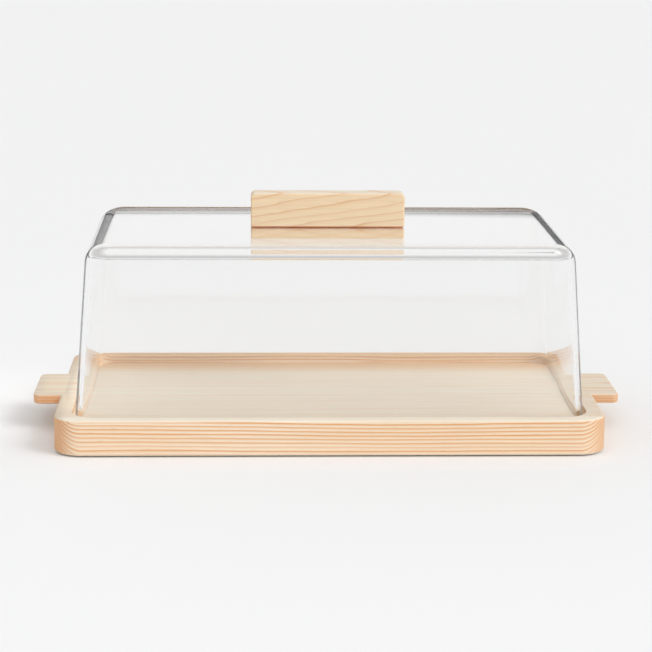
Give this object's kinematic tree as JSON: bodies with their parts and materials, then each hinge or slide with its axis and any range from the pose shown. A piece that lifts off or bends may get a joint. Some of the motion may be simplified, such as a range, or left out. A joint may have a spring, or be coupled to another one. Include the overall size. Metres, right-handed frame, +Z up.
{
  "type": "butter dish",
  "caption": "Long ash-wood butter tray with end tabs and a shallow recess, under a clear box-shaped cover that lifts off by a wooden bar handle.",
  "frame": {"origin": "centre of the tray's underside, on the surface that the dish stands on", "axes": "+X along the dish's length, +Y across it away from the front, +Z up, the way the cover lifts"},
  "size_m": [0.237, 0.118, 0.094],
  "materials": {
    "ash_tray": "bare sanded ash, pale cream with tan growth-ring lines along the length",
    "clear_acrylic": "clear polished acrylic",
    "ash_handle": "bare sanded ash with wavy growth-ring lines",
    "screw_steel": "plain stainless steel"
  },
  "bodies": {
    "tray": {"tray_board": "ash_tray"},
    "lid": {"cover_shell": "clear_acrylic", "handle_block": "ash_handle", "backing_block": "ash_handle", "handle_screw_left": "screw_steel", "handle_screw_right": "screw_steel"}
  },
  "joints": [
    {"name": "lid_lift", "type": "slide", "parent": "tray", "child": "lid", "axis": [0, 0, 1], "range_m": [0, 0.12]}
  ]
}
